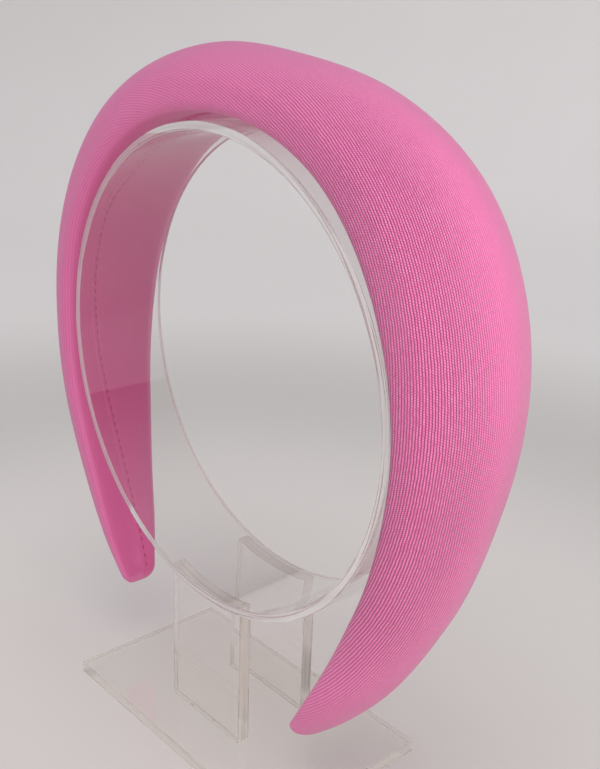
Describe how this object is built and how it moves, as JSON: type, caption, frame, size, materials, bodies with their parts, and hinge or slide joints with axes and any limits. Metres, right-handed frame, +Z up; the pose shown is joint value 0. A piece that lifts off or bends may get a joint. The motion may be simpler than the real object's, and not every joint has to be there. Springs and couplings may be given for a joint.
{
  "type": "padded headband on clear display stand",
  "caption": "Wide foam-padded headband in pink jersey, a tapering arch with blunt tips, resting on a clear ring held by two uprights on a flat base plate.",
  "frame": {"origin": "middle of the base plate's underside, on the surface that the stand stands on", "axes": "+Z up through the crown of the band, +X towards the band's right leg as seen from the front, +Y through the ring from its front edge to its back edge"},
  "size_m": [0.1517, 0.049, 0.1774],
  "materials": {
    "jersey": "fine satin knit",
    "clear_acrylic": "polished clear sheet"
  },
  "bodies": {
    "root": {"padded_band": "jersey", "display_ring": "clear_acrylic", "front_upright": "clear_acrylic", "back_upright": "clear_acrylic", "base_plate": "clear_acrylic"}
  },
  "joints": []
}
